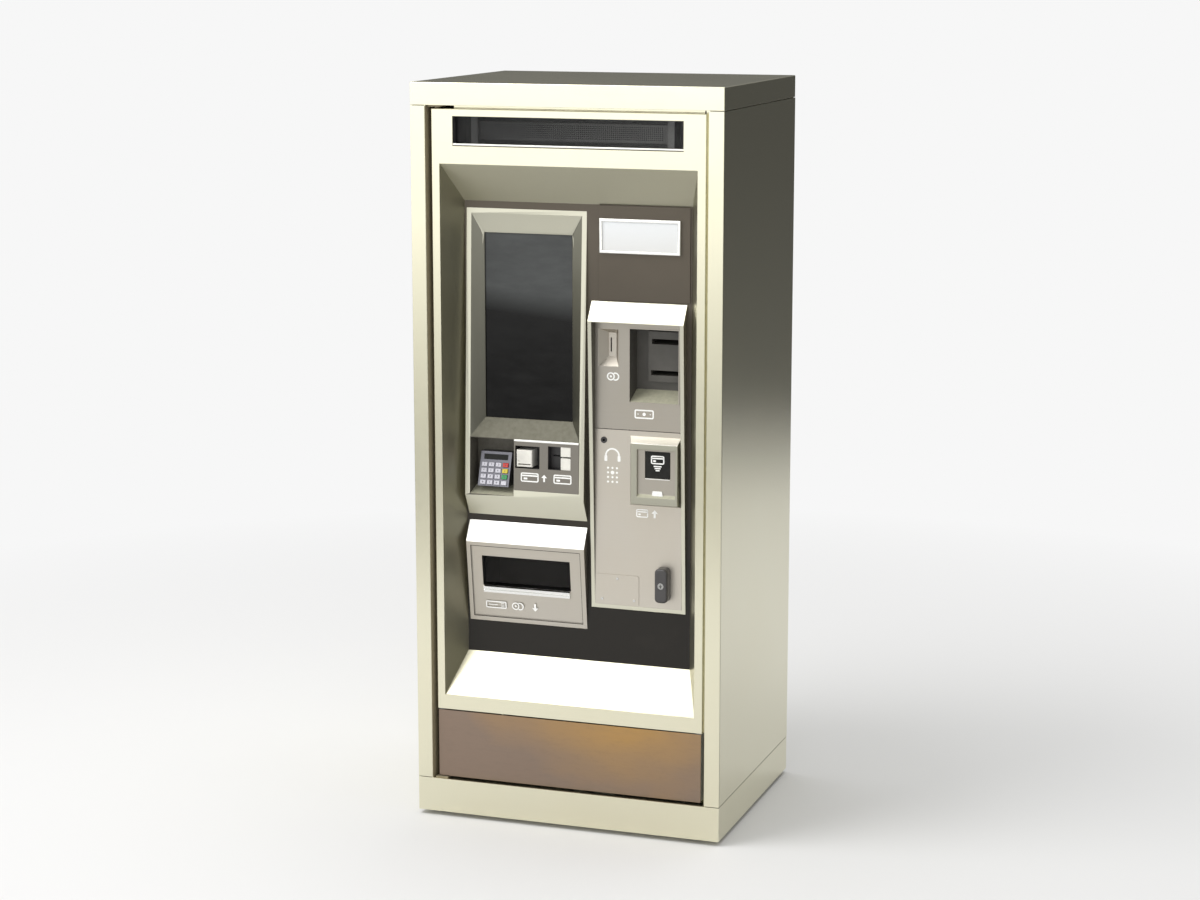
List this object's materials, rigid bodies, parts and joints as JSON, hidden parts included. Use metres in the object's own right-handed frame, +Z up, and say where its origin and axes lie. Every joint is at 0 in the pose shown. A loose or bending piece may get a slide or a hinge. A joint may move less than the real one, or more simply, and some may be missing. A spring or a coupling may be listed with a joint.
{
  "type": "ticket vending machine",
  "caption": "Free-standing steel ticket vending machine with a hinged front door, recessed touch screen, key pad, card readers, coin and note slots, contactless reader and return tray.",
  "frame": {"origin": "on the floor, at the middle of the cabinet's footprint", "axes": "+Z up, -Y out of the front door towards the user, +X to the user's right"},
  "size_m": [0.792, 0.634, 1.842],
  "materials": {
    "cabinet_steel": "champagne-tinted brushed stainless, satin",
    "door_steel": "champagne-tinted brushed stainless, satin",
    "hood_steel": "satin stainless, formed hoods and sills",
    "panel_steel": "greyer bead-blasted face panels",
    "bronze_kick": "bronze-toned brushed kick panel",
    "dark_panel": "dark brown-grey satin coating",
    "structure": "grey primed structural steel",
    "zinc": "zinc-plated sheet",
    "pin_steel": "turned steel",
    "feet_rubber": "black levelling pads",
    "black_plastic": "black moulded plastic",
    "cream_plastic": "cream moulded plastic",
    "key_light": "light grey keys",
    "key_red": "red key",
    "key_yellow": "yellow key",
    "key_green": "green key",
    "pad_metal": "dark satin key pad face",
    "screen": "black touch glass",
    "chrome": "polished trim",
    "notice_white": "backlit white card",
    "lock_black": "black moulded turn handle over a steel core",
    "flap_clear": "smoked clear sheet",
    "paper": "ticket stock"
  },
  "bodies": {
    "cabinet": {"levelling_feet": "feet_rubber", "base_plinth": "cabinet_steel", "left_side_panel": "cabinet_steel", "right_side_panel": "cabinet_steel", "top_cap": "cabinet_steel", "rear_panel": "cabinet_steel", "door_hinges": "pin_steel", "equipment_shelf": "zinc", "power_supply": "zinc", "machine_computer": "black_plastic"},
    "coin_vault": {"coin_vault": "structure"},
    "door": {"door_skin": "door_steel", "door_frame": "structure", "kick_panel": "bronze_kick", "recess_surround": "door_steel", "module_panel": "dark_panel", "sign_housing": "black_plastic", "notice_frame": "chrome", "notice_card": "notice_white", "screen_hood": "hood_steel", "screen_glass": "screen", "display_unit": "black_plastic", "keypad_body": "pad_metal", "card_panel": "panel_steel", "card_housing": "black_plastic", "card_readers": "cream_plastic", "payment_hood": "hood_steel", "payment_upper_panel": "panel_steel", "payment_lower_panel": "panel_steel", "coin_mouth": "hood_steel", "coin_validator": "zinc", "bill_acceptor": "black_plastic", "audio_jack": "black_plastic", "tap_reader": "hood_steel", "access_plate": "panel_steel", "return_hood": "panel_steel", "return_tray": "zinc", "ticket_printer": "black_plastic"},
    "note_cassette": {"note_cassette": "structure"},
    "door_handle": {"lock_handle": "lock_black"},
    "key_cylinder": {"key_cylinder": "chrome"},
    "lock_bolt": {"lock_bolt": "pin_steel"},
    "return_flap": {"return_flap": "flap_clear"},
    "ticket_roll": {"ticket_roll": "paper"},
    "key_11": {"key_11": "key_light"},
    "key_12": {"key_12": "key_light"},
    "key_13": {"key_13": "key_light"},
    "key_14": {"key_14": "key_red"},
    "key_21": {"key_21": "key_light"},
    "key_22": {"key_22": "key_light"},
    "key_23": {"key_23": "key_light"},
    "key_24": {"key_24": "key_yellow"},
    "key_31": {"key_31": "key_light"},
    "key_32": {"key_32": "key_light"},
    "key_33": {"key_33": "key_light"},
    "key_34": {"key_34": "key_green"},
    "key_41": {"key_41": "key_light"},
    "key_42": {"key_42": "key_light"},
    "key_43": {"key_43": "key_light"},
    "key_44": {"key_44": "key_light"}
  },
  "joints": [
    {"name": "door_swing", "type": "hinge", "parent": "cabinet", "child": "door", "pos_m": [-0.336, -0.29, 0.912], "axis": [0, 0, -1], "range_deg": [0, 100]},
    {"name": "vault_slide", "type": "slide", "parent": "cabinet", "child": "coin_vault", "axis": [0, -1, 0], "range_m": [0, 0.18]},
    {"name": "cassette_lift", "type": "slide", "parent": "door", "child": "note_cassette", "axis": [0, 0, 1], "range_m": [0, 0.16]},
    {"name": "handle_turn", "type": "hinge", "parent": "door", "child": "door_handle", "pos_m": [0.226, -0.23, 0.627], "axis": [0, 1, 0], "range_deg": [0, 90]},
    {"name": "key_turn", "type": "hinge", "parent": "door_handle", "child": "key_cylinder", "pos_m": [0.226, -0.258, 0.627], "axis": [0, 1, 0], "range_deg": [0, 90]},
    {"name": "bolt_throw", "type": "slide", "parent": "door", "child": "lock_bolt", "axis": [1, 0, 0], "range_m": [0, 0.02514]},
    {"name": "flap_swing", "type": "hinge", "parent": "door", "child": "return_flap", "pos_m": [-0.1305, -0.2295, 0.663], "axis": [1, 0, 0], "range_deg": [0, 65]},
    {"name": "roll_spin", "type": "hinge", "parent": "door", "child": "ticket_roll", "pos_m": [-0.13, -0.049, 0.64], "axis": [1, 0, 0], "continuous": true},
    {"name": "key_11_press", "type": "slide", "parent": "door", "child": "key_11", "axis": [0, 0.9475, -0.3197], "range_m": [0, 0.002], "stiffness_N_per_m": 500},
    {"name": "key_12_press", "type": "slide", "parent": "door", "child": "key_12", "axis": [0, 0.9475, -0.3197], "range_m": [0, 0.002], "stiffness_N_per_m": 500},
    {"name": "key_13_press", "type": "slide", "parent": "door", "child": "key_13", "axis": [0, 0.9475, -0.3197], "range_m": [0, 0.002], "stiffness_N_per_m": 500},
    {"name": "key_14_press", "type": "slide", "parent": "door", "child": "key_14", "axis": [0, 0.9475, -0.3197], "range_m": [0, 0.002], "stiffness_N_per_m": 500},
    {"name": "key_21_press", "type": "slide", "parent": "door", "child": "key_21", "axis": [0, 0.9475, -0.3197], "range_m": [0, 0.002], "stiffness_N_per_m": 500},
    {"name": "key_22_press", "type": "slide", "parent": "door", "child": "key_22", "axis": [0, 0.9475, -0.3197], "range_m": [0, 0.002], "stiffness_N_per_m": 500},
    {"name": "key_23_press", "type": "slide", "parent": "door", "child": "key_23", "axis": [0, 0.9475, -0.3197], "range_m": [0, 0.002], "stiffness_N_per_m": 500},
    {"name": "key_24_press", "type": "slide", "parent": "door", "child": "key_24", "axis": [0, 0.9475, -0.3197], "range_m": [0, 0.002], "stiffness_N_per_m": 500},
    {"name": "key_31_press", "type": "slide", "parent": "door", "child": "key_31", "axis": [0, 0.9475, -0.3197], "range_m": [0, 0.002], "stiffness_N_per_m": 500},
    {"name": "key_32_press", "type": "slide", "parent": "door", "child": "key_32", "axis": [0, 0.9475, -0.3197], "range_m": [0, 0.002], "stiffness_N_per_m": 500},
    {"name": "key_33_press", "type": "slide", "parent": "door", "child": "key_33", "axis": [0, 0.9475, -0.3197], "range_m": [0, 0.002], "stiffness_N_per_m": 500},
    {"name": "key_34_press", "type": "slide", "parent": "door", "child": "key_34", "axis": [0, 0.9475, -0.3197], "range_m": [0, 0.002], "stiffness_N_per_m": 500},
    {"name": "key_41_press", "type": "slide", "parent": "door", "child": "key_41", "axis": [0, 0.9475, -0.3197], "range_m": [0, 0.002], "stiffness_N_per_m": 500},
    {"name": "key_42_press", "type": "slide", "parent": "door", "child": "key_42", "axis": [0, 0.9475, -0.3197], "range_m": [0, 0.002], "stiffness_N_per_m": 500},
    {"name": "key_43_press", "type": "slide", "parent": "door", "child": "key_43", "axis": [0, 0.9475, -0.3197], "range_m": [0, 0.002], "stiffness_N_per_m": 500},
    {"name": "key_44_press", "type": "slide", "parent": "door", "child": "key_44", "axis": [0, 0.9475, -0.3197], "range_m": [0, 0.002], "stiffness_N_per_m": 500}
  ],
  "couplings": [
    {"joint": "bolt_throw", "follows": "handle_turn", "m_per_rad": 0.016}
  ]
}
